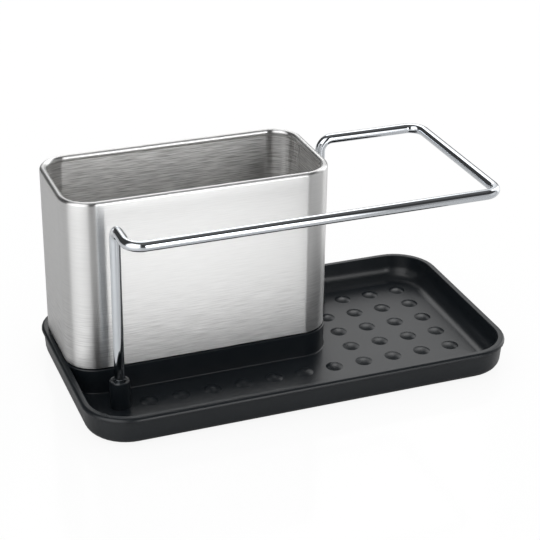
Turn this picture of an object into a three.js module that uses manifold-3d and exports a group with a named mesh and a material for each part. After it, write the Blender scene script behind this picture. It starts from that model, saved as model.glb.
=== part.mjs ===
// Kitchen sink caddy: a moulded tray with a steel utensil holder and a bent wire towel rail.
// Millimetres, +Z up. X runs along the tray, -Y is its front, z = 0 is the table under the feet.
// The origin lies under the middle of the tray.

import * as THREE from 'three';
import { mergeVertices } from 'three/addons/utils/BufferGeometryUtils.js';
import Module from 'manifold-3d';

const wasm = await Module();
wasm.setup();

// Tray
const TRAY_LENGTH = 215;
const TRAY_DEPTH = 116.5;
const TRAY_CORNER = 22;
const RIM_HEIGHT = 15.2;
const RIM_WIDTH = 3.5;
const RIM_ROUND = 1.5;
const FLANGE_THICKNESS = 2;
const FLANGE_OVERHANG = 1;
const FLOOR_THICKNESS = 2;
const WALL_DRAFT = 4;
const BOTTOM_RADIUS = 4;
const COVE_RADIUS = 7.5;
const EDGE_BREAK = 0.35;

// Plinth moulded into the tray, which carries the holder
const PLINTH_LEDGE = 0.55;
const PLINTH_FLARE = 0.8;
const PLINTH_SKIN = 2.2;
const HOLLOW_MARGIN = 1.5;
const RIB_THICKNESS = 1.5;
const RIB_PITCH = 20;
const SPIGOT_HEIGHT = 3;
const SPIGOT_WALL = 2;
const SPIGOT_CLEARANCE = 0.4;

// Nubs on the tray's floor
const NUB_DIAMETER = 8.6;
const NUB_HEIGHT = 1.2;
const NUB_PITCH = 15.8;
const NUB_FROM_RIGHT = 21.1;
const NUB_FROM_REAR = 20.2;

// Steel holder
const HOLDER_LENGTH = 132;
const HOLDER_DEPTH = 61;
const HOLDER_HEIGHT = 85.2;
const HOLDER_CORNER = 15;
const HOLDER_FROM_LEFT = 3;
const HOLDER_FROM_REAR = 8.2;
const HOLDER_SHADOW_GAP = 0.8;
const SHEET = 0.8;
const HEM_WIDTH = 3.3;
const HEM_DROP = 0.4;
const PAN_LIP = 5;
const PAN_BEND = 2;
const PAN_CLEARANCE = 0.2;

// Wire towel rail
const WIRE_DIAMETER = 5;
const RAIL_HEIGHT = 94.7;
const RAIL_FROM_FRONT = 11.2;
const RAIL_FROM_RIGHT = 12.5;
const RAIL_FROM_REAR = 17.3;
const LEG_BEND = 6;
const LOOP_BEND = 7.5;
const FRONT_LEG_FROM_LEFT = 22;
const FRONT_LEG_FROM_FRONT = 33.8;
const REAR_LEG_FROM_HOLDER = 12.9;
const WIRE_END_BREAK = 0.5;

// Sockets that the rail's legs stand in
const BOSS_TOP_DIAMETER = 9.4;
const BOSS_BASE_DIAMETER = 10.4;
const BOSS_RISE = 1.2;
const SOCKET_DEPTH = 10;
const SOCKET_CLEARANCE = 0.15;
const SOCKET_CHAMFER = 1;

// Rubber feet
const FOOT_DIAMETER = 12;
const FOOT_PROUD = 0.6;
const FOOT_RECESS = 0.8;
const FOOT_INSET = 20;
const FOOT_CLEARANCE = 0.2;
const FOOT_EDGE = 0.3;
const FOOT_POST_WALL = 2;

// Resting pieces keep this gap to their seats, and cutters run past what they cut by the other
const SEAT_GAP = 0.3;
const OVERSHOOT = 1;

// Facets
const CORNER_STEPS = 10;
const FILLET_STEPS = 5;
const HEM_STEPS = 8;
const WIRE_SIDES = 16;
const BEND_STEPS = 7;
const NUB_SIDES = 16;
const NUB_RINGS = 3;
const ROUND_SIDES = 28;

// Heights and places that follow from the sizes above
const undersideZ = FOOT_PROUD;
const floorZ = undersideZ + FLOOR_THICKNESS;
const flangeZ = RIM_HEIGHT - FLANGE_THICKNESS;
const draftSlope = Math.tan(THREE.MathUtils.degToRad(WALL_DRAFT));

const trayOutline = {
  left: -TRAY_LENGTH / 2,
  right: TRAY_LENGTH / 2,
  front: -TRAY_DEPTH / 2,
  rear: TRAY_DEPTH / 2,
  corner: TRAY_CORNER,
};

const holderLeft = trayOutline.left + HOLDER_FROM_LEFT;
const holderRear = trayOutline.rear - HOLDER_FROM_REAR;
const holderOutline = {
  left: holderLeft,
  right: holderLeft + HOLDER_LENGTH,
  front: holderRear - HOLDER_DEPTH,
  rear: holderRear,
  corner: HOLDER_CORNER,
};
const holderBottomZ = RIM_HEIGHT + HOLDER_SHADOW_GAP;
const holderTopZ = holderBottomZ + HOLDER_HEIGHT;

// The plinth follows the holder with a narrow ledge. It runs into the left rim, and straight back
// into the rear one.
const plinthCorner = HOLDER_CORNER + PLINTH_LEDGE;
const plinthOutline = {
  left: Math.min(holderOutline.left - PLINTH_LEDGE, trayOutline.left + RIM_WIDTH - 3 * EDGE_BREAK),
  right: holderOutline.right + PLINTH_LEDGE,
  front: holderOutline.front - PLINTH_LEDGE,
  rear: trayOutline.rear + plinthCorner,
  corner: plinthCorner,
};

const frontLeg = new THREE.Vector2(
  trayOutline.left + FRONT_LEG_FROM_LEFT,
  trayOutline.front + FRONT_LEG_FROM_FRONT,
);
const rearLeg = new THREE.Vector2(
  holderOutline.right + REAR_LEG_FROM_HOLDER,
  trayOutline.rear - RAIL_FROM_REAR,
);

// One rounded rectangle as a ring of points, anticlockwise seen from above.
// A positive inset shrinks it on every side.
function roundedRing(outline, inset, z) {
  const radius = Math.max(outline.corner - inset, EDGE_BREAK);
  const reach = inset + radius;
  const centres = [
    [outline.right - reach, outline.front + reach, -90],
    [outline.right - reach, outline.rear - reach, 0],
    [outline.left + reach, outline.rear - reach, 90],
    [outline.left + reach, outline.front + reach, 180],
  ];
  const points = [];
  for (const [x, y, start] of centres) {
    for (let step = 0; step <= CORNER_STEPS; step += 1) {
      const angle = THREE.MathUtils.degToRad(start + (90 * step) / CORNER_STEPS);
      points.push(new THREE.Vector3(x + radius * Math.cos(angle), y + radius * Math.sin(angle), z));
    }
  }
  return points;
}

// Skin over rings of equal count: a closed profile joins its last ring to its first,
// and an open one is capped at both ends.
function skin(rings, closedProfile = false) {
  const count = rings[0].length;
  const vertices = rings.flat();
  const faces = [];
  const spans = closedProfile ? rings.length : rings.length - 1;
  for (let span = 0; span < spans; span += 1) {
    const lower = span * count;
    const upper = ((span + 1) % rings.length) * count;
    for (let j = 0; j < count; j += 1) {
      const k = (j + 1) % count;
      faces.push(lower + j, lower + k, upper + k, lower + j, upper + k, upper + j);
    }
  }
  if (!closedProfile) {
    const last = (rings.length - 1) * count;
    const startCentre = vertices.push(middle(rings[0])) - 1;
    const endCentre = vertices.push(middle(rings[rings.length - 1])) - 1;
    for (let j = 0; j < count; j += 1) {
      const k = (j + 1) % count;
      faces.push(startCentre, k, j, endCentre, last + j, last + k);
    }
  }
  const geometry = new THREE.BufferGeometry().setFromPoints(vertices);
  geometry.setIndex(faces);
  return geometry;
}

function middle(points) {
  const sum = new THREE.Vector3();
  points.forEach((point) => sum.add(point));
  return sum.divideScalar(points.length);
}

// Loft of one outline through a profile of [inset, height] pairs
function loft(outline, profile, closedProfile = false) {
  const rings = profile.map(([inset, z]) => roundedRing(outline, inset, z));
  return skin(rings, closedProfile);
}

// Points [inset, height] on an arc, with angles in degrees below the horizontal
function profileArc(centreInset, centreZ, radius, fromAngle, toAngle, steps) {
  const points = [];
  for (let step = 0; step <= steps; step += 1) {
    const angle = THREE.MathUtils.degToRad(fromAngle + ((toAngle - fromAngle) * step) / steps);
    points.push([centreInset - radius * Math.cos(angle), centreZ - radius * Math.sin(angle)]);
  }
  return points;
}

// Fillet between a level floor and a drafted wall that passes through [wallInset, wallZ]
function wallFillet(wallInset, wallZ, bottomZ, radius) {
  const draft = THREE.MathUtils.degToRad(WALL_DRAFT);
  const centreZ = bottomZ + radius;
  const run = (wallZ - centreZ + radius * Math.sin(draft)) * draftSlope;
  const centreInset = wallInset + run + radius * Math.cos(draft);
  return { centreInset, points: profileArc(centreInset, centreZ, radius, 90, WALL_DRAFT, FILLET_STEPS) };
}

// Solid of revolution about an upright axis, from [radius, height] pairs that start and end on it
function revolve(profile, sides, x, y) {
  const geometry = new THREE.LatheGeometry(profile.map(([r, z]) => new THREE.Vector2(r, z)), sides);
  geometry.rotateX(Math.PI / 2);
  geometry.translate(x, y, 0);
  return geometry;
}

function box(x0, x1, y0, y1, z0, z1) {
  const geometry = new THREE.BoxGeometry(x1 - x0, y1 - y0, z1 - z0);
  geometry.translate((x0 + x1) / 2, (y0 + y1) / 2, (z0 + z1) / 2);
  return geometry;
}

// Boolean solids
function toSolid(geometry) {
  const bare = geometry.clone();
  bare.deleteAttribute('normal');
  bare.deleteAttribute('uv');
  const merged = mergeVertices(bare);
  return new wasm.Manifold(new wasm.Mesh({
    numProp: 3,
    vertProperties: new Float32Array(merged.attributes.position.array),
    triVerts: new Uint32Array(merged.index.array),
  }));
}

function toGeometry(solid) {
  const mesh = solid.getMesh();
  const geometry = new THREE.BufferGeometry();
  geometry.setAttribute('position', new THREE.BufferAttribute(mesh.vertProperties, mesh.numProp));
  geometry.setIndex(new THREE.BufferAttribute(mesh.triVerts, 1));
  return geometry;
}

// Tray: its outside as a full block, from the underside up over the flange
const outerFillet = wallFillet(FLANGE_OVERHANG, flangeZ, undersideZ, BOTTOM_RADIUS);
const underEdge = Math.min(EDGE_BREAK, FLANGE_THICKNESS / 3);
const rimRound = Math.min(RIM_ROUND, FLANGE_THICKNESS - underEdge - OVERSHOOT / 10);

function trayBlock() {
  const profile = [
    ...outerFillet.points,
    [FLANGE_OVERHANG, flangeZ],
    [underEdge, flangeZ],
    [0, flangeZ + underEdge],
    ...profileArc(rimRound, RIM_HEIGHT - rimRound, rimRound, 0, -90, FILLET_STEPS),
  ];
  return toSolid(loft(trayOutline, profile));
}

// The well inside the rim, with a cove where its wall meets the floor
const innerFillet = wallFillet(RIM_WIDTH, RIM_HEIGHT, floorZ, COVE_RADIUS);

function trayWell() {
  const profile = [
    ...innerFillet.points,
    [RIM_WIDTH + EDGE_BREAK * draftSlope, RIM_HEIGHT - EDGE_BREAK],
    [RIM_WIDTH - EDGE_BREAK, RIM_HEIGHT],
    [RIM_WIDTH - EDGE_BREAK, RIM_HEIGHT + OVERSHOOT],
  ];
  return toSolid(loft(trayOutline, profile));
}

// The plinth stands in the well, flares into the floor and ends level with the rim
function plinthBlock() {
  const flare = profileArc(-PLINTH_FLARE, floorZ + PLINTH_FLARE, PLINTH_FLARE, 90, 180, FILLET_STEPS);
  const profile = [
    [-PLINTH_FLARE, undersideZ],
    ...flare,
    [0, RIM_HEIGHT - EDGE_BREAK],
    [EDGE_BREAK, RIM_HEIGHT],
    [EDGE_BREAK, RIM_HEIGHT + 2 * OVERSHOOT],
  ];
  return toSolid(loft(plinthOutline, profile));
}

// Places that divide a span into equal cells, none wider than the ribs' pitch
function ribPlaces(from, to) {
  const cells = Math.ceil((to - from) / RIB_PITCH);
  const places = [];
  for (let rib = 1; rib < cells; rib += 1) {
    places.push(from + ((to - from) * rib) / cells);
  }
  return places;
}

// Ribs across the plinth's hollow and along it, from below the tray to inside the plinth's top
function hollowRibs(hollowTopZ, trayInset) {
  const left = Math.max(plinthOutline.left + PLINTH_SKIN, trayOutline.left + trayInset);
  const right = plinthOutline.right - PLINTH_SKIN;
  const front = plinthOutline.front + PLINTH_SKIN;
  const rear = trayOutline.rear - trayInset;
  const low = undersideZ - 2 * OVERSHOOT;
  const high = hollowTopZ + OVERSHOOT;
  const half = RIB_THICKNESS / 2;
  const rib = (x0, x1, y0, y1) => toSolid(box(x0, x1, y0, y1, low, high));
  const across = ribPlaces(left, right).map((x) => rib(x - half, x + half, front - half, rear + half));
  const along = ribPlaces(front, rear).map((y) => rib(left - half, right + half, y - half, y + half));
  return [...across, ...along];
}

// The plinth is cored out from below, with ribs and a post where a foot sits
function plinthHollow() {
  const topZ = RIM_HEIGHT - PLINTH_SKIN;
  const low = undersideZ - OVERSHOOT;
  const trayInset = outerFillet.centreInset + HOLLOW_MARGIN;
  const underPlinth = loft(plinthOutline, [[PLINTH_SKIN, low], [PLINTH_SKIN, topZ]]);
  const insideTray = loft(trayOutline, [[trayInset, low - OVERSHOOT], [trayInset, RIM_HEIGHT]]);
  let hollow = toSolid(underPlinth).intersect(toSolid(insideTray));
  for (const rib of hollowRibs(topZ, trayInset)) {
    hollow = hollow.subtract(rib);
  }
  const postRadius = FOOT_DIAMETER / 2 + FOOT_CLEARANCE + FOOT_POST_WALL;
  const postZ = low - OVERSHOOT;
  const post = [[0, postZ], [postRadius, postZ], [postRadius, RIM_HEIGHT], [0, RIM_HEIGHT]];
  for (const [x, y] of footPlaces.values()) {
    hollow = hollow.subtract(toSolid(revolve(post, ROUND_SIDES, x, y)));
  }
  return hollow;
}

// Upright lip on the plinth that the holder's sleeve drops over
const spigotInset = SHEET + SPIGOT_CLEARANCE;
const spigotTopZ = RIM_HEIGHT + SPIGOT_HEIGHT;

function spigot() {
  const inner = spigotInset + SPIGOT_WALL;
  const profile = [
    [spigotInset, RIM_HEIGHT - OVERSHOOT],
    [spigotInset, spigotTopZ - EDGE_BREAK],
    [spigotInset + EDGE_BREAK, spigotTopZ],
    [inner, spigotTopZ],
    [inner, RIM_HEIGHT - OVERSHOOT],
  ];
  return toSolid(loft(holderOutline, profile, true));
}

// Bosses for the rail's legs, a little taller than the rim, and the countersunk sockets in them
const socketRadius = WIRE_DIAMETER / 2 + SOCKET_CLEARANCE;
const bossTopZ = RIM_HEIGHT + BOSS_RISE;
const socketZ = bossTopZ - SOCKET_DEPTH;

function boss(place) {
  const top = BOSS_TOP_DIAMETER / 2;
  const base = BOSS_BASE_DIAMETER / 2;
  const low = floorZ - FLOOR_THICKNESS / 2;
  const profile = [
    [0, low],
    [base, low],
    [base, floorZ],
    [top, bossTopZ - EDGE_BREAK],
    [top - EDGE_BREAK, bossTopZ],
    [0, bossTopZ],
  ];
  return toSolid(revolve(profile, ROUND_SIDES, place.x, place.y));
}

function socket(place) {
  const mouth = socketRadius + SOCKET_CHAMFER;
  const profile = [
    [0, socketZ],
    [socketRadius, socketZ],
    [socketRadius, bossTopZ - SOCKET_CHAMFER],
    [mouth, bossTopZ],
    [mouth, bossTopZ + OVERSHOOT],
    [0, bossTopZ + OVERSHOOT],
  ];
  return toSolid(revolve(profile, ROUND_SIDES, place.x, place.y));
}

// Nubs: shallow domes on a square grid that starts at the rear right corner.
// They keep off the plinth's flare, stand at most half on the front cove, and the long rows end
// before the front leg's boss.
function nubPlaces() {
  const radius = NUB_DIAMETER / 2;
  const floorInset = innerFillet.centreInset;
  const frontLimit = trayOutline.front + floorInset;
  const leftLimit = frontLeg.x + BOSS_BASE_DIAMETER / 2 + radius;
  const plinthRight = plinthOutline.right + PLINTH_FLARE + radius;
  const plinthFront = plinthOutline.front - PLINTH_FLARE - radius;
  const places = [];
  for (let y = trayOutline.rear - NUB_FROM_REAR; y > frontLimit; y -= NUB_PITCH) {
    for (let x = trayOutline.right - NUB_FROM_RIGHT; x > leftLimit; x -= NUB_PITCH) {
      const clearOfPlinth = x > plinthRight || y < plinthFront;
      const clearOfBoss = rearLeg.distanceTo(new THREE.Vector2(x, y)) > BOSS_BASE_DIAMETER / 2 + radius;
      if (clearOfPlinth && clearOfBoss) {
        places.push([x, y]);
      }
    }
  }
  return places;
}

function nub(x, y) {
  const radius = NUB_DIAMETER / 2;
  const sphere = (radius ** 2 + NUB_HEIGHT ** 2) / (2 * NUB_HEIGHT);
  const halfAngle = Math.asin(radius / sphere);
  const low = floorZ - FLOOR_THICKNESS / 2;
  const profile = [[0, low], [radius, low]];
  for (let ring = 0; ring < NUB_RINGS; ring += 1) {
    const angle = halfAngle * (1 - ring / NUB_RINGS);
    profile.push([sphere * Math.sin(angle), floorZ + NUB_HEIGHT - sphere * (1 - Math.cos(angle))]);
  }
  profile.push([0, floorZ + NUB_HEIGHT]);
  return toSolid(revolve(profile, NUB_SIDES, x, y));
}

// Feet, each in a shallow recess of the tray's underside
const footPlaces = new Map([
  ['foot_front_left', [trayOutline.left + FOOT_INSET, trayOutline.front + FOOT_INSET]],
  ['foot_front_right', [trayOutline.right - FOOT_INSET, trayOutline.front + FOOT_INSET]],
  ['foot_rear_left', [trayOutline.left + FOOT_INSET, trayOutline.rear - FOOT_INSET]],
  ['foot_rear_right', [trayOutline.right - FOOT_INSET, trayOutline.rear - FOOT_INSET]],
]);

function footRecess(x, y) {
  const radius = FOOT_DIAMETER / 2 + FOOT_CLEARANCE;
  const low = undersideZ - OVERSHOOT;
  const high = undersideZ + FOOT_RECESS;
  return toSolid(revolve([[0, low], [radius, low], [radius, high], [0, high]], ROUND_SIDES, x, y));
}

function foot(x, y) {
  const radius = FOOT_DIAMETER / 2;
  const high = undersideZ + FOOT_RECESS - FOOT_CLEARANCE;
  const profile = [
    [0, 0],
    [radius - 2 * FOOT_EDGE, 0],
    [radius - FOOT_EDGE, FOOT_EDGE],
    [radius, undersideZ],
    [radius, high],
    [0, high],
  ];
  return revolve(profile, ROUND_SIDES, x, y);
}

function tray() {
  let body = trayBlock().subtract(trayWell().subtract(plinthBlock()));
  body = body.subtract(plinthHollow());
  body = body.add(spigot());
  for (const [x, y] of nubPlaces()) {
    body = body.add(nub(x, y));
  }
  for (const place of [frontLeg, rearLeg]) {
    body = body.add(boss(place)).subtract(socket(place));
  }
  for (const [x, y] of footPlaces.values()) {
    body = body.subtract(footRecess(x, y));
  }
  return toGeometry(body);
}

// Holder sleeve: thin sheet whose top edge is rolled over inwards into a hem
function holderSleeve() {
  const roll = HEM_WIDTH / 2;
  const rollZ = holderTopZ - roll;
  const hemZ = rollZ - HEM_DROP;
  const outside = profileArc(roll, rollZ, roll, 0, -180, HEM_STEPS);
  const inside = profileArc(roll, rollZ, roll - SHEET, -180, 0, HEM_STEPS);
  const profile = [
    [0, holderBottomZ],
    ...outside,
    [HEM_WIDTH, hemZ],
    [HEM_WIDTH - SHEET, hemZ],
    ...inside,
    [SHEET, holderBottomZ],
  ];
  return loft(holderOutline, profile, true);
}

// Holder bottom: a shallow pan pressed into the sleeve, which rests on the spigot
function holderBottom() {
  const out = SHEET + PAN_CLEARANCE;
  const lowZ = spigotTopZ + SEAT_GAP;
  const lipZ = lowZ + PAN_LIP;
  const profile = [
    ...profileArc(out + PAN_BEND, lowZ + PAN_BEND, PAN_BEND, 90, 0, FILLET_STEPS),
    [out, lipZ],
    [out + SHEET, lipZ],
    ...profileArc(out + PAN_BEND, lowZ + PAN_BEND, PAN_BEND - SHEET, 0, 90, FILLET_STEPS),
  ];
  return loft(holderOutline, profile);
}

// Towel rail: one wire, from the front leg forward, round the loop and down the rear leg
function railCorners() {
  const lowZ = socketZ + SEAT_GAP;
  const frontY = trayOutline.front + RAIL_FROM_FRONT;
  const rightX = trayOutline.right - RAIL_FROM_RIGHT;
  return [
    { point: new THREE.Vector3(frontLeg.x, frontLeg.y, lowZ) },
    { point: new THREE.Vector3(frontLeg.x, frontLeg.y, RAIL_HEIGHT), bend: LEG_BEND },
    { point: new THREE.Vector3(frontLeg.x, frontY, RAIL_HEIGHT), bend: LOOP_BEND },
    { point: new THREE.Vector3(rightX, frontY, RAIL_HEIGHT), bend: LOOP_BEND },
    { point: new THREE.Vector3(rightX, rearLeg.y, RAIL_HEIGHT), bend: LOOP_BEND },
    { point: new THREE.Vector3(rearLeg.x, rearLeg.y, RAIL_HEIGHT), bend: LEG_BEND },
    { point: new THREE.Vector3(rearLeg.x, rearLeg.y, lowZ) },
  ];
}

// Stations along the wire: its two ends, and a row of them round each square bend
function wireStations(corners) {
  const stations = [];
  const radius = WIRE_DIAMETER / 2;
  const small = radius - WIRE_END_BREAK;
  const way = (from, to) => to.point.clone().sub(from.point).normalize();
  const last = corners.length - 1;
  const first = way(corners[0], corners[1]);
  const final = way(corners[last - 1], corners[last]);
  const start = corners[0].point;
  const end = corners[last].point;
  stations.push({ point: start, tangent: first, radius: small });
  stations.push({ point: start.clone().addScaledVector(first, WIRE_END_BREAK), tangent: first, radius });
  for (let i = 1; i < last; i += 1) {
    const into = way(corners[i - 1], corners[i]);
    const out = way(corners[i], corners[i + 1]);
    const centre = corners[i].point.clone().addScaledVector(into, -corners[i].bend);
    centre.addScaledVector(out, corners[i].bend);
    for (let step = 0; step <= BEND_STEPS; step += 1) {
      const angle = (Math.PI / 2) * (step / BEND_STEPS);
      const point = centre.clone().addScaledVector(out, -corners[i].bend * Math.cos(angle));
      point.addScaledVector(into, corners[i].bend * Math.sin(angle));
      const tangent = into.clone().multiplyScalar(Math.cos(angle)).addScaledVector(out, Math.sin(angle));
      stations.push({ point, tangent, radius });
    }
  }
  stations.push({ point: end.clone().addScaledVector(final, -WIRE_END_BREAK), tangent: final, radius });
  stations.push({ point: end, tangent: final, radius: small });
  return stations;
}

function towelRail() {
  const normal = new THREE.Vector3(1, 0, 0);
  const turn = new THREE.Quaternion();
  let before = null;
  const rings = wireStations(railCorners()).map(({ point, tangent, radius }) => {
    if (before) {
      normal.applyQuaternion(turn.setFromUnitVectors(before, tangent));
    }
    before = tangent;
    const side = tangent.clone().cross(normal);
    const ring = [];
    for (let j = 0; j < WIRE_SIDES; j += 1) {
      const angle = (2 * Math.PI * j) / WIRE_SIDES;
      const spoke = normal.clone().multiplyScalar(Math.cos(angle)).addScaledVector(side, Math.sin(angle));
      ring.push(point.clone().addScaledVector(spoke, radius));
    }
    return ring;
  });
  return skin(rings);
}

// Finishes
const blackPlastic = { color: 0x202326, roughness: 0.45, metalness: 0 };
const brushedSteel = { color: 0xc8c8c6, roughness: 0.35, metalness: 1 };
const chrome = { color: 0xe2e5e8, roughness: 0.07, metalness: 1 };
const rubber = { color: 0x2b2b2b, roughness: 0.9, metalness: 0 };

function piece(name, geometry, finish) {
  const mesh = new THREE.Mesh(geometry, new THREE.MeshStandardMaterial(finish));
  mesh.name = name;
  return mesh;
}

const caddy = new THREE.Group();
caddy.name = 'sink_caddy';
caddy.add(piece('tray', tray(), blackPlastic));
for (const [name, [x, y]] of footPlaces) {
  caddy.add(piece(name, foot(x, y), rubber));
}

const holder = new THREE.Group();
holder.name = 'holder';
holder.add(piece('holder_sleeve', holderSleeve(), brushedSteel));
holder.add(piece('holder_bottom', holderBottom(), brushedSteel));
caddy.add(holder);

caddy.add(piece('towel_rail', towelRail(), chrome));

export default caddy;
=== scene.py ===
"""Looks of a kitchen sink caddy: a moulded tray, a brushed-steel holder and a chromed wire towel rail.

Metres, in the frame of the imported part: X along the tray, -Y its front, z = 0 the table.
"""

import math
from collections import namedtuple

import bmesh
import bpy
from mathutils import Matrix, Vector


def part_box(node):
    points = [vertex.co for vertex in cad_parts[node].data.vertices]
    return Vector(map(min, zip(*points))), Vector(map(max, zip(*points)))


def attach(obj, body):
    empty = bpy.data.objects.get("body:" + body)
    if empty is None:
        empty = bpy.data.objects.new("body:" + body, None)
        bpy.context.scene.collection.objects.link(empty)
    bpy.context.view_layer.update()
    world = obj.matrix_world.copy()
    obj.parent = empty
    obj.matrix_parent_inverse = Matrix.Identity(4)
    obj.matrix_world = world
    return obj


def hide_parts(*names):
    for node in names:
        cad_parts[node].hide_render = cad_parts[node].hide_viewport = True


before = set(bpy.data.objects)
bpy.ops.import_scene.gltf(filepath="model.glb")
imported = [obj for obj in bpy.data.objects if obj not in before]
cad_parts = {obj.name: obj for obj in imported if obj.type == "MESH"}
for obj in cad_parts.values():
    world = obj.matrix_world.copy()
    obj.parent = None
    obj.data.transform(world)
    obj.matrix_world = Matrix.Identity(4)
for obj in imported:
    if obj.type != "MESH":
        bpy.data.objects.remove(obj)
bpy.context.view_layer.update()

MM = 0.001

# Sizes that the frame's boxes don't give, with the hem's turn in degrees
HOLDER_CORNER = 15 * MM
SHEET = 0.8 * MM
HEM_WIDTH = 3.3 * MM
HEM_TURN = 250
LEG_BEND = 6 * MM
LOOP_BEND = 7.5 * MM
FRONT_LEG_FROM_FRONT = 33.8 * MM
REAR_LEG_FROM_HOLDER = 12.9 * MM
WIRE_DIAMETER = 5 * MM
WIRE_END_BREAK = 0.5 * MM

# Mesh fineness
CORNER_STEPS = 32
HEM_STEPS = 28
FLAT_STEPS = 24
WALL_ROWS = 16
WIRE_SIDES = 40
BEND_STEPS = 20
WELD_DISTANCE = 0.002 * MM

# Angles in degrees from which an edge shows as an edge
TRAY_EDGE = 22
SLEEVE_EDGE = 40
SMALL_PART_EDGE = 30

# How far large faces outweigh small ones in the tray's normals, from 1 to 100; 50 is neutral
TRAY_FACE_WEIGHT = 100

# Finishes that follow two noises. A noise is its grains per metre along X, Y and Z and its detail;
# colours and roughness go from low to high, and bump is strength and depth.
PLASTIC = {
    "tone": ((35, 35, 35), 3),
    "relief": ((2600, 2600, 2600), 2),
    "colours": ((0.006, 0.0084, 0.011, 1), (0.009, 0.0118, 0.0148, 1)),
    "roughness": (0.27, 0.35),
    "bump": (0.18, 0.03 * MM),
    "metallic": 0,
}
PAN_STEEL = {
    "tone": ((50, 3000, 3000), 2),
    "relief": ((50, 3000, 3000), 2),
    "colours": ((0.6, 0.6, 0.595, 1), (0.74, 0.74, 0.735, 1)),
    "roughness": (0.28, 0.42),
    "bump": (0.12, 0.02 * MM),
    "metallic": 1,
}
CHROME = {
    "tone": ((400, 400, 400), 3),
    "relief": ((90, 90, 90), 2),
    # The blue tint is painted reflection: it stands in for the bluish surroundings that the chrome mirrors
    "colours": ((0.73, 0.765, 0.805, 1), (0.79, 0.82, 0.855, 1)),
    "roughness": (0.02, 0.04),
    "bump": (0.03, 0.05 * MM),
    "metallic": 1,
}
RUBBER = {
    "tone": ((1500, 1500, 1500), 3),
    "relief": ((1500, 1500, 1500), 3),
    "colours": ((0.016, 0.016, 0.016, 1), (0.028, 0.028, 0.028, 1)),
    "roughness": (0.75, 0.9),
    "bump": (0.3, 0.05 * MM),
    "metallic": 0,
}

# Brushed sheet steel, with its noises in grains per metre along and across the sheet.
# The span is the part of the streaks' noise that shows, and the middle is the tone where they don't show.
STREAKS = ((90, 2000, 1), 2)
STREAK_SPAN = (0.25, 0.62)
STREAK_MIDDLE = 0.68
HAIRLINES = ((70, 2400, 1), 2)
HAIRLINE_DEPTH = 0.075 * MM
STEEL_OUTSIDE = ((0.605, 0.605, 0.6, 1), (0.82, 0.82, 0.815, 1))
# Inside, the streaks' wide span of colour is brushing plus painted glints: light and dark lines that stand
# in for sharp reflections
STEEL_INSIDE_WITH_PAINTED_GLINTS = ((0.42, 0.415, 0.405, 1), (1, 0.995, 0.985, 1))
STEEL_ROUGHNESS = (0.278, 0.298)
STEEL_ANISOTROPY = 0.95
QUARTER_TURN = 0.25
# How strongly the brushing shows at the outside's foot and above the height where it stops fading; at the
# foot the streaks' colour is brushing plus painted reflection of the dark tray
MARKS_AND_PAINTED_REFLECTION_AT_FOOT = 1.5
MARKS_ABOVE = 0.2
MARKS_FADE_HEIGHT = 40 * MM
# Length of sheet past the outside's height at which the inside's finish starts, under the rolled edge
INSIDE_START = 5 * MM

# Table, whose colour off camera goes from the left's to the right's between two places along X: painted
# light and shade, lighter far to the left and darker towards the caddy
FLOOR_SIZE = 6
FLOOR_DROP = 0.05 * MM
FLOOR_ROUGHNESS = 0.1
FLOOR_ON_CAMERA = 0.95
FLOOR_GLOW_SHARE = 0.9
FLOOR_PAINTED_LIGHT_LEFT = 0.78
FLOOR_PAINTED_SHADE_RIGHT = 0.57
FLOOR_LEFT_X = -0.4
FLOOR_RIGHT_X = -0.05

# Studio: white panels, with angles in degrees and bearings clockwise from the front, and a dim ceiling
Panel = namedtuple("Panel", "bearing half_width side_softness lowest highest strength")
PANELS = (
    Panel(bearing=15.75, half_width=7.75, side_softness=2, lowest=-90, highest=30, strength=4.15),
    Panel(bearing=-55, half_width=38, side_softness=5, lowest=-90, highest=64, strength=2.0),
    Panel(bearing=56, half_width=32, side_softness=6, lowest=-90, highest=20, strength=0.7),
    Panel(bearing=110, half_width=22, side_softness=8, lowest=-90, highest=50, strength=1.9),
    Panel(bearing=158, half_width=28, side_softness=3, lowest=12, highest=70, strength=1.0),
    Panel(bearing=0, half_width=200, side_softness=2, lowest=56, highest=100, strength=0.13),
)
# Softness of the panels' lower and upper edges, share of their light at the sides, light between them
PANEL_END_SOFTNESS = 2
PANEL_SIDE_SHARE = 0.55
STUDIO_DARK = 0.05

# Softbox behind the caddy
SOFTBOX_PLACE = Vector((0.29, 0.8, 0.85))
SOFTBOX_TARGET = Vector((0, 0, 0.03))
SOFTBOX_SIZE = 0.6
SOFTBOX_POWER = 1.4

# Camera, fitted to the photograph: angles in degrees, lens and sensor in millimetres
CAMERA_AZIMUTH = -21.33
CAMERA_ELEVATION = 26.86
CAMERA_ROLL = 0.87
CAMERA_DISTANCE = 754.1 * MM
CAMERA_TARGET = Vector((-1.75, 0, 47.83)) * MM
CAMERA_LENS = 103.33
CAMERA_NEAR = 10 * MM
SENSOR_WIDTH = 36


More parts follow.
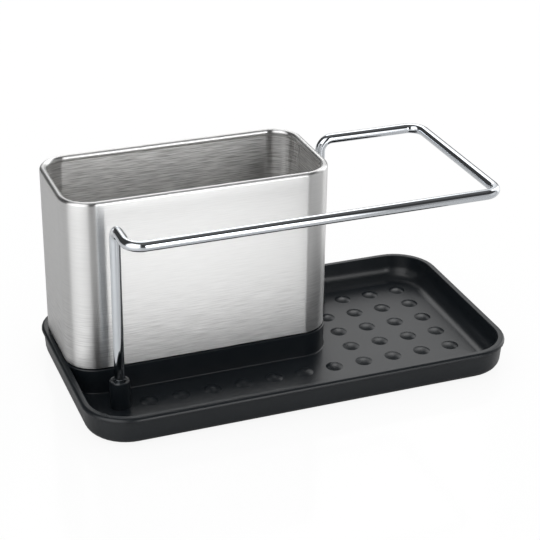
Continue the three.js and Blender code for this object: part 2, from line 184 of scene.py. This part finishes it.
class Graph:
    """The nodes of one material or world, with a short call for each kind used here."""

    def __init__(self, tree):
        self.nodes = tree.nodes
        self.links = tree.links

    def add(self, kind, **settings):
        node = self.nodes.new(kind)
        for name, value in settings.items():
            setattr(node, name, value)
        return node

    def feed(self, socket, value):
        """A number or colour is set on the socket, and another node's output is linked to it."""
        if isinstance(value, bpy.types.NodeSocket):
            self.links.new(value, socket)
        else:
            socket.default_value = value

    def place(self, kind):
        return self.add("ShaderNodeTexCoord").outputs[kind]

    def split(self, vector):
        """The outputs X, Y and Z of a vector."""
        node = self.add("ShaderNodeSeparateXYZ")
        self.feed(node.inputs[0], vector)
        return node.outputs

    def noise(self, vector, per_metre, detail):
        mapping = self.add("ShaderNodeMapping")
        self.feed(mapping.inputs["Vector"], vector)
        self.feed(mapping.inputs["Scale"], per_metre)
        noise = self.add("ShaderNodeTexNoise")
        self.feed(noise.inputs["Vector"], mapping.outputs["Vector"])
        self.feed(noise.inputs["Scale"], 1)
        self.feed(noise.inputs["Detail"], detail)
        return noise.outputs["Fac"]

    def remap(self, value, low, high, from_low=0, from_high=1):
        """A value that goes from low to high while the given one goes from from_low to from_high."""
        node = self.add("ShaderNodeMapRange")
        settings = {
            "Value": value,
            "From Min": from_low,
            "From Max": from_high,
            "To Min": low,
            "To Max": high,
        }
        for name, setting in settings.items():
            self.feed(node.inputs[name], setting)
        return node.outputs["Result"]

    def combine(self, operation, *values):
        node = self.add("ShaderNodeMath", operation=operation)
        for socket, value in zip(node.inputs, values):
            self.feed(socket, value)
        return node.outputs[0]

    def window(self, value, low, high, softness):
        """1 where the value lies between two limits and 0 outside, with soft edges."""
        rise = self.remap(value, 0, 1, low - softness, low + softness)
        fall = self.remap(value, 1, 0, high - softness, high + softness)
        return self.combine("MULTIPLY", rise, fall)

    def mix(self, factor, first, second):
        """A colour between two others."""
        node = self.add("ShaderNodeMix", data_type="RGBA")
        self.feed(node.inputs["Factor"], factor)
        colours = [socket for socket in node.inputs if socket.type == "RGBA"]
        for socket, colour in zip(colours, (first, second)):
            self.feed(socket, colour)
        return next(socket for socket in node.outputs if socket.type == "RGBA")

    def bump(self, shader, height, strength, depth):
        node = self.add("ShaderNodeBump")
        self.feed(node.inputs["Height"], height)
        self.feed(node.inputs["Strength"], strength)
        self.feed(node.inputs["Distance"], depth)
        self.feed(shader.inputs["Normal"], node.outputs["Normal"])


# Materials

def new_material(name):
    material = bpy.data.materials.new(name)
    material.use_nodes = True
    graph = Graph(material.node_tree)
    return material, graph, graph.nodes["Principled BSDF"]


def grained_material(name, finish):
    """Colour and roughness follow one noise, and the bump another."""
    material, graph, shader = new_material(name)
    place = graph.place("Object")
    tone = graph.noise(place, *finish["tone"])
    relief = graph.noise(place, *finish["relief"])
    graph.feed(shader.inputs["Base Color"], graph.mix(tone, *finish["colours"]))
    graph.feed(shader.inputs["Roughness"], graph.remap(tone, *finish["roughness"]))
    graph.feed(shader.inputs["Metallic"], finish["metallic"])
    graph.bump(shader, relief, *finish["bump"])
    return material


def steel_material(outside_height):
    """Stainless sheet, brushed along its length, which shows most inside and at the outside's foot; there
    the streaks' colour is partly painted, as glints inside and as the dark tray's reflection at the foot.

    The grain follows the sheet's own coordinates, in metres: up the outside, over the roll, down the inside.
    """
    material, graph, shader = new_material("holder_steel")
    sheet = graph.add("ShaderNodeUVMap", uv_map="sheet").outputs["UV"]
    across = graph.split(sheet)["Y"]
    streaks = graph.noise(sheet, *STREAKS)
    hairlines = graph.noise(sheet, *HAIRLINES)
    inside = graph.combine("GREATER_THAN", across, outside_height + INSIDE_START)
    fading = graph.remap(across, MARKS_AND_PAINTED_REFLECTION_AT_FOOT, MARKS_ABOVE, 0, MARKS_FADE_HEIGHT)
    # Strength of the streaks: brushing, plus painted glints inside and painted reflection of the tray at the
    # foot
    streaks_and_painted_sheen = graph.combine("MAXIMUM", fading, inside)
    darkest = graph.remap(streaks_and_painted_sheen, STREAK_MIDDLE, 0)
    lightest = graph.remap(streaks_and_painted_sheen, STREAK_MIDDLE, 1)
    tone = graph.remap(streaks, darkest, lightest, *STREAK_SPAN)
    outer = graph.mix(tone, *STEEL_OUTSIDE)
    inner = graph.mix(tone, *STEEL_INSIDE_WITH_PAINTED_GLINTS)
    graph.feed(shader.inputs["Base Color"], graph.mix(inside, outer, inner))
    graph.feed(shader.inputs["Roughness"], graph.remap(streaks, *STEEL_ROUGHNESS))
    graph.feed(shader.inputs["Metallic"], 1)
    graph.feed(shader.inputs["Anisotropic"], STEEL_ANISOTROPY)
    graph.feed(shader.inputs["Anisotropic Rotation"], QUARTER_TURN)
    tangent = graph.add("ShaderNodeTangent", direction_type="UV_MAP", uv_map="sheet")
    graph.feed(shader.inputs["Tangent"], tangent.outputs["Tangent"])
    graph.bump(shader, graph.combine("MULTIPLY", hairlines, fading), 1, HAIRLINE_DEPTH)
    return material


# Mesh helpers

def to_object(name, mesh_data, material):
    mesh = bpy.data.meshes.new(name)
    mesh_data.to_mesh(mesh)
    mesh_data.free()
    mesh.materials.append(material)
    piece = bpy.data.objects.new(name, mesh)
    bpy.context.scene.collection.objects.link(piece)
    return piece


def shade(mesh_data, edge_angle):
    """Smooth faces, with an edge wherever they meet at that angle or more."""
    limit = math.radians(edge_angle)
    for face in mesh_data.faces:
        face.smooth = True
    for edge in mesh_data.edges:
        edge.smooth = len(edge.link_faces) == 2 and edge.calc_face_angle() < limit


def lengths_round(points):
    """Length from the first point to each one and back to the first."""
    lengths = [0.0]
    for i in range(1, len(points) + 1):
        step = (points[i % len(points)] - points[i - 1]).length
        lengths.append(lengths[-1] + step)
    return lengths


def skin(name, rings, material, closed_profile, edge_angle):
    """Mesh over rings of equal count. Each ring closes on itself, and the uv map "sheet" holds metres."""
    mesh_data = bmesh.new()
    uv = mesh_data.loops.layers.uv.new("sheet")
    rows = [[mesh_data.verts.new(point) for point in ring] for ring in rings]
    count = len(rings[0])
    along = lengths_round(rings[0])
    across = lengths_round([ring[0] for ring in rings])
    spans = len(rings) if closed_profile else len(rings) - 1
    for i in range(spans):
        lower = rows[i]
        upper = rows[(i + 1) % len(rows)]
        for j in range(count):
            k = (j + 1) % count
            face = mesh_data.faces.new((lower[j], lower[k], upper[k], upper[j]))
            places = ((j, i), (j + 1, i), (j + 1, i + 1), (j, i + 1))
            for loop, (a, b) in zip(face.loops, places):
                loop[uv].uv = (along[a], across[b])
    if not closed_profile:
        mesh_data.faces.new(list(reversed(rows[0])))
        mesh_data.faces.new(rows[-1])
    mesh_data.normal_update()
    shade(mesh_data, edge_angle)
    return to_object(name, mesh_data, material)


def rounded_ring(low, high, corner, inset, z):
    """Rounded rectangle, anticlockwise from above, with its straight sides divided too."""
    radius = corner - inset
    centres = (
        (high.x - corner, low.y + corner, -90),
        (high.x - corner, high.y - corner, 0),
        (low.x + corner, high.y - corner, 90),
        (low.x + corner, low.y + corner, 180),
    )
    arcs = []
    for x, y, start in centres:
        arc = []
        for step in range(CORNER_STEPS + 1):
            angle = math.radians(start + 90 * step / CORNER_STEPS)
            arc.append(Vector((x + radius * math.cos(angle), y + radius * math.sin(angle), z)))
        arcs.append(arc)
    ring = []
    for i, arc in enumerate(arcs):
        ring.extend(arc)
        following = arcs[(i + 1) % len(arcs)][0]
        for step in range(1, FLAT_STEPS):
            ring.append(arc[-1].lerp(following, step / FLAT_STEPS))
    return ring


def profile_arc(inset, z, radius, start, end, steps):
    """Points (inset, height) on an arc, with angles in degrees above the outward level."""
    points = []
    for step in range(steps + 1):
        angle = math.radians(start + (end - start) * step / steps)
        points.append((inset - radius * math.cos(angle), z + radius * math.sin(angle)))
    return points


# Pieces

def dress_node(node, name, material, edge_angle):
    """A welded copy of a CAD node's mesh, shaded smooth between its real edges."""
    mesh_data = bmesh.new()
    mesh_data.from_mesh(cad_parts[node].data)
    bmesh.ops.remove_doubles(mesh_data, verts=mesh_data.verts, dist=WELD_DISTANCE)
    shade(mesh_data, edge_angle)
    return to_object(name, mesh_data, material)


def make_tray(material):
    """The tray's own solid, with normals that follow its large faces."""
    tray = dress_node("tray", "tray_moulding", material, TRAY_EDGE)
    normals = tray.modifiers.new("face_weighted_normals", "WEIGHTED_NORMAL")
    normals.keep_sharp = True
    normals.weight = TRAY_FACE_WEIGHT
    return tray


def make_sleeve(material):
    """Thin sheet round the holder, with its top edge rolled over inwards."""
    low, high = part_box("holder_sleeve")
    roll = HEM_WIDTH / 2
    roll_z = high.z - roll
    wall = [low.z + (roll_z - low.z) * row / WALL_ROWS for row in range(WALL_ROWS)]
    profile = [(0, z) for z in wall]
    profile += profile_arc(roll, roll_z, roll, 0, HEM_TURN, HEM_STEPS)
    profile += profile_arc(roll, roll_z, roll - SHEET, HEM_TURN, 0, HEM_STEPS)
    profile += [(SHEET, z) for z in reversed(wall)]
    rings = [rounded_ring(low, high, HOLDER_CORNER, inset, z) for inset, z in profile]
    return skin("steel_sleeve", rings, material, True, SLEEVE_EDGE)


def rail_stations():
    """Centre, direction and radius at each ring of the rail's wire."""
    low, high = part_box("towel_rail")
    tray_low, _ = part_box("tray")
    _, holder_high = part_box("holder_sleeve")
    radius = WIRE_DIAMETER / 2
    level = high.z - radius
    left = low.x + radius
    right = high.x - radius
    front = low.y + radius
    rear = high.y - radius
    front_leg_y = tray_low.y + FRONT_LEG_FROM_FRONT
    rear_leg_x = holder_high.x + REAR_LEG_FROM_HOLDER
    corners = (
        (Vector((left, front_leg_y, low.z)), 0),
        (Vector((left, front_leg_y, level)), LEG_BEND),
        (Vector((left, front, level)), LOOP_BEND),
        (Vector((right, front, level)), LOOP_BEND),
        (Vector((right, rear, level)), LOOP_BEND),
        (Vector((rear_leg_x, rear, level)), LEG_BEND),
        (Vector((rear_leg_x, rear, low.z)), 0),
    )
    up = Vector((0, 0, 1))
    down = Vector((0, 0, -1))
    start, _ = corners[0]
    end, _ = corners[-1]
    stations = []
    stations.append((start, up, radius - WIRE_END_BREAK))
    stations.append((start + up * WIRE_END_BREAK, up, radius))
    for i in range(1, len(corners) - 1):
        point, bend = corners[i]
        into = (point - corners[i - 1][0]).normalized()
        out = (corners[i + 1][0] - point).normalized()
        centre = point - into * bend + out * bend
        for step in range(BEND_STEPS + 1):
            angle = math.pi / 2 * step / BEND_STEPS
            place = centre - out * bend * math.cos(angle) + into * bend * math.sin(angle)
            stations.append((place, into * math.cos(angle) + out * math.sin(angle), radius))
    stations.append((end - down * WIRE_END_BREAK, down, radius))
    stations.append((end, down, radius - WIRE_END_BREAK))
    return stations


def make_rail(material):
    """One bent wire, swept as rings that turn with it."""
    normal = Vector((1, 0, 0))
    before = None
    rings = []
    for place, tangent, radius in rail_stations():
        if before is not None:
            normal = before.rotation_difference(tangent) @ normal
        before = tangent
        side = tangent.cross(normal)
        ring = []
        for j in range(WIRE_SIDES):
            angle = 2 * math.pi * j / WIRE_SIDES
            ring.append(place + (normal * math.cos(angle) + side * math.sin(angle)) * radius)
        rings.append(ring)
    return skin("bent_wire_rail", rings, material, False, SMALL_PART_EDGE)


# Stage

def floor_material():
    """Table: white with a faint shadow on camera, and to everything else a greyer, glossy top with painted
    light and shade, lighter at the left and darker towards the caddy.
    """
    material, graph, paper = new_material("table_white")
    on_camera = graph.add("ShaderNodeLightPath").outputs["Is Camera Ray"]
    along = graph.split(graph.place("Object"))["X"]
    # painted light and shade on the table: lighter at the left, darker towards the caddy on the right
    painted_light_and_shade = graph.remap(along, FLOOR_PAINTED_LIGHT_LEFT, FLOOR_PAINTED_SHADE_RIGHT, FLOOR_LEFT_X, FLOOR_RIGHT_X)
    graph.feed(paper.inputs["Base Color"], graph.remap(on_camera, painted_light_and_shade, FLOOR_ON_CAMERA))
    graph.feed(paper.inputs["Roughness"], FLOOR_ROUGHNESS)
    glow = graph.add("ShaderNodeEmission")
    graph.feed(glow.inputs["Color"], (1, 1, 1, 1))
    graph.feed(glow.inputs["Strength"], 1)
    mixed = graph.add("ShaderNodeMixShader")
    graph.feed(mixed.inputs[0], graph.combine("MULTIPLY", on_camera, FLOOR_GLOW_SHARE))
    graph.feed(mixed.inputs[1], paper.outputs[0])
    graph.feed(mixed.inputs[2], glow.outputs[0])
    graph.feed(graph.nodes["Material Output"].inputs["Surface"], mixed.outputs[0])
    return material


def make_floor():
    mesh_data = bmesh.new()
    bmesh.ops.create_grid(mesh_data, x_segments=1, y_segments=1, size=FLOOR_SIZE / 2)
    floor = to_object("table", mesh_data, floor_material())
    floor.location.z = -FLOOR_DROP


def angle_from(graph, direction, bearing):
    """Signed angle in degrees, seen from above, between a direction and a bearing."""
    turn = math.radians(bearing)
    aside = math.cos(turn), math.sin(turn)
    ahead = math.sin(turn), -math.cos(turn)
    parts = []
    for x_share, y_share in (aside, ahead):
        x_part = graph.combine("MULTIPLY", direction["X"], x_share)
        y_part = graph.combine("MULTIPLY", direction["Y"], y_share)
        parts.append(graph.combine("ADD", x_part, y_part))
    return graph.combine("DEGREES", graph.combine("ARCTAN2", *parts))


def panel_light(graph, direction, elevation, panel):
    """Light of one panel, which is brightest along its middle."""
    angle = angle_from(graph, direction, panel.bearing)
    across = graph.window(angle, -panel.half_width, panel.half_width, panel.side_softness)
    upright = graph.window(elevation, panel.lowest, panel.highest, PANEL_END_SOFTNESS)
    shape = graph.combine("MULTIPLY", across, upright)
    aside = graph.combine("DIVIDE", angle, panel.half_width)
    square = graph.combine("MULTIPLY", aside, aside)
    level = graph.remap(square, panel.strength, panel.strength * PANEL_SIDE_SHARE)
    return graph.combine("MULTIPLY", shape, level)


def make_world():
    """A dim studio with white panels all round, which only reflections see; everything else sees white."""
    world = bpy.data.worlds.new("studio")
    bpy.context.scene.world = world
    world.use_nodes = True
    graph = Graph(world.node_tree)
    background = graph.nodes["Background"]
    direction = graph.split(graph.place("Generated"))
    elevation = graph.combine("DEGREES", graph.combine("ARCSINE", direction["Z"]))
    studio = STUDIO_DARK
    for panel in PANELS:
        light = panel_light(graph, direction, elevation, panel)
        studio = graph.combine("MAXIMUM", light, studio)
    in_reflection = graph.add("ShaderNodeLightPath").outputs["Is Glossy Ray"]
    graph.feed(background.inputs["Color"], (1, 1, 1, 1))
    graph.feed(background.inputs["Strength"], graph.remap(in_reflection, 1, studio))


def make_softbox():
    lamp = bpy.data.lights.new("rear_softbox", "AREA")
    lamp.shape = "SQUARE"
    lamp.size = SOFTBOX_SIZE
    lamp.energy = SOFTBOX_POWER
    light = bpy.data.objects.new("rear_softbox", lamp)
    light.location = SOFTBOX_PLACE
    light.rotation_mode = "QUATERNION"
    light.rotation_quaternion = (SOFTBOX_TARGET - SOFTBOX_PLACE).to_track_quat("-Z", "Y")
    bpy.context.scene.collection.objects.link(light)


def make_camera():
    azimuth = math.radians(CAMERA_AZIMUTH)
    elevation = math.radians(CAMERA_ELEVATION)
    back = Vector((
        math.sin(azimuth) * math.cos(elevation),
        -math.cos(azimuth) * math.cos(elevation),
        math.sin(elevation),
    ))
    data = bpy.data.cameras.new("photo_camera")
    data.lens = CAMERA_LENS
    data.sensor_width = SENSOR_WIDTH
    data.clip_start = CAMERA_NEAR
    camera = bpy.data.objects.new("photo_camera", data)
    camera.location = CAMERA_TARGET + back * CAMERA_DISTANCE
    right = Vector((math.cos(azimuth), math.sin(azimuth), 0))
    level = Matrix((right, back.cross(right), back)).transposed()
    roll = Matrix.Rotation(math.radians(CAMERA_ROLL), 3, "Z")
    camera.rotation_euler = (level @ roll).to_euler()
    bpy.context.scene.collection.objects.link(camera)
    bpy.context.scene.camera = camera


# Scene

plastic = grained_material("tray_plastic", PLASTIC)
sleeve_low, sleeve_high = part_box("holder_sleeve")
steel = steel_material(sleeve_high.z - sleeve_low.z)
pan_steel = grained_material("pan_steel", PAN_STEEL)
chrome = grained_material("rail_chrome", CHROME)
rubber = grained_material("foot_rubber", RUBBER)

tray = make_tray(plastic)
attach(tray, "tray")
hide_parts("tray")

sleeve = make_sleeve(steel)
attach(sleeve, "holder")
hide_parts("holder_sleeve")

pan = dress_node("holder_bottom", "holder_bottom_dressed", pan_steel, SMALL_PART_EDGE)
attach(pan, "holder")
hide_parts("holder_bottom")

rail = make_rail(chrome)
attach(rail, "rail")
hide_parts("towel_rail")

for corner in ("front_left", "front_right", "rear_left", "rear_right"):
    foot = dress_node("foot_" + corner, "foot_" + corner + "_dressed", rubber, SMALL_PART_EDGE)
    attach(foot, "tray")
    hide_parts("foot_" + corner)

make_floor()
make_world()
make_softbox()
make_camera()
bpy.context.scene.view_settings.view_transform = "Standard"
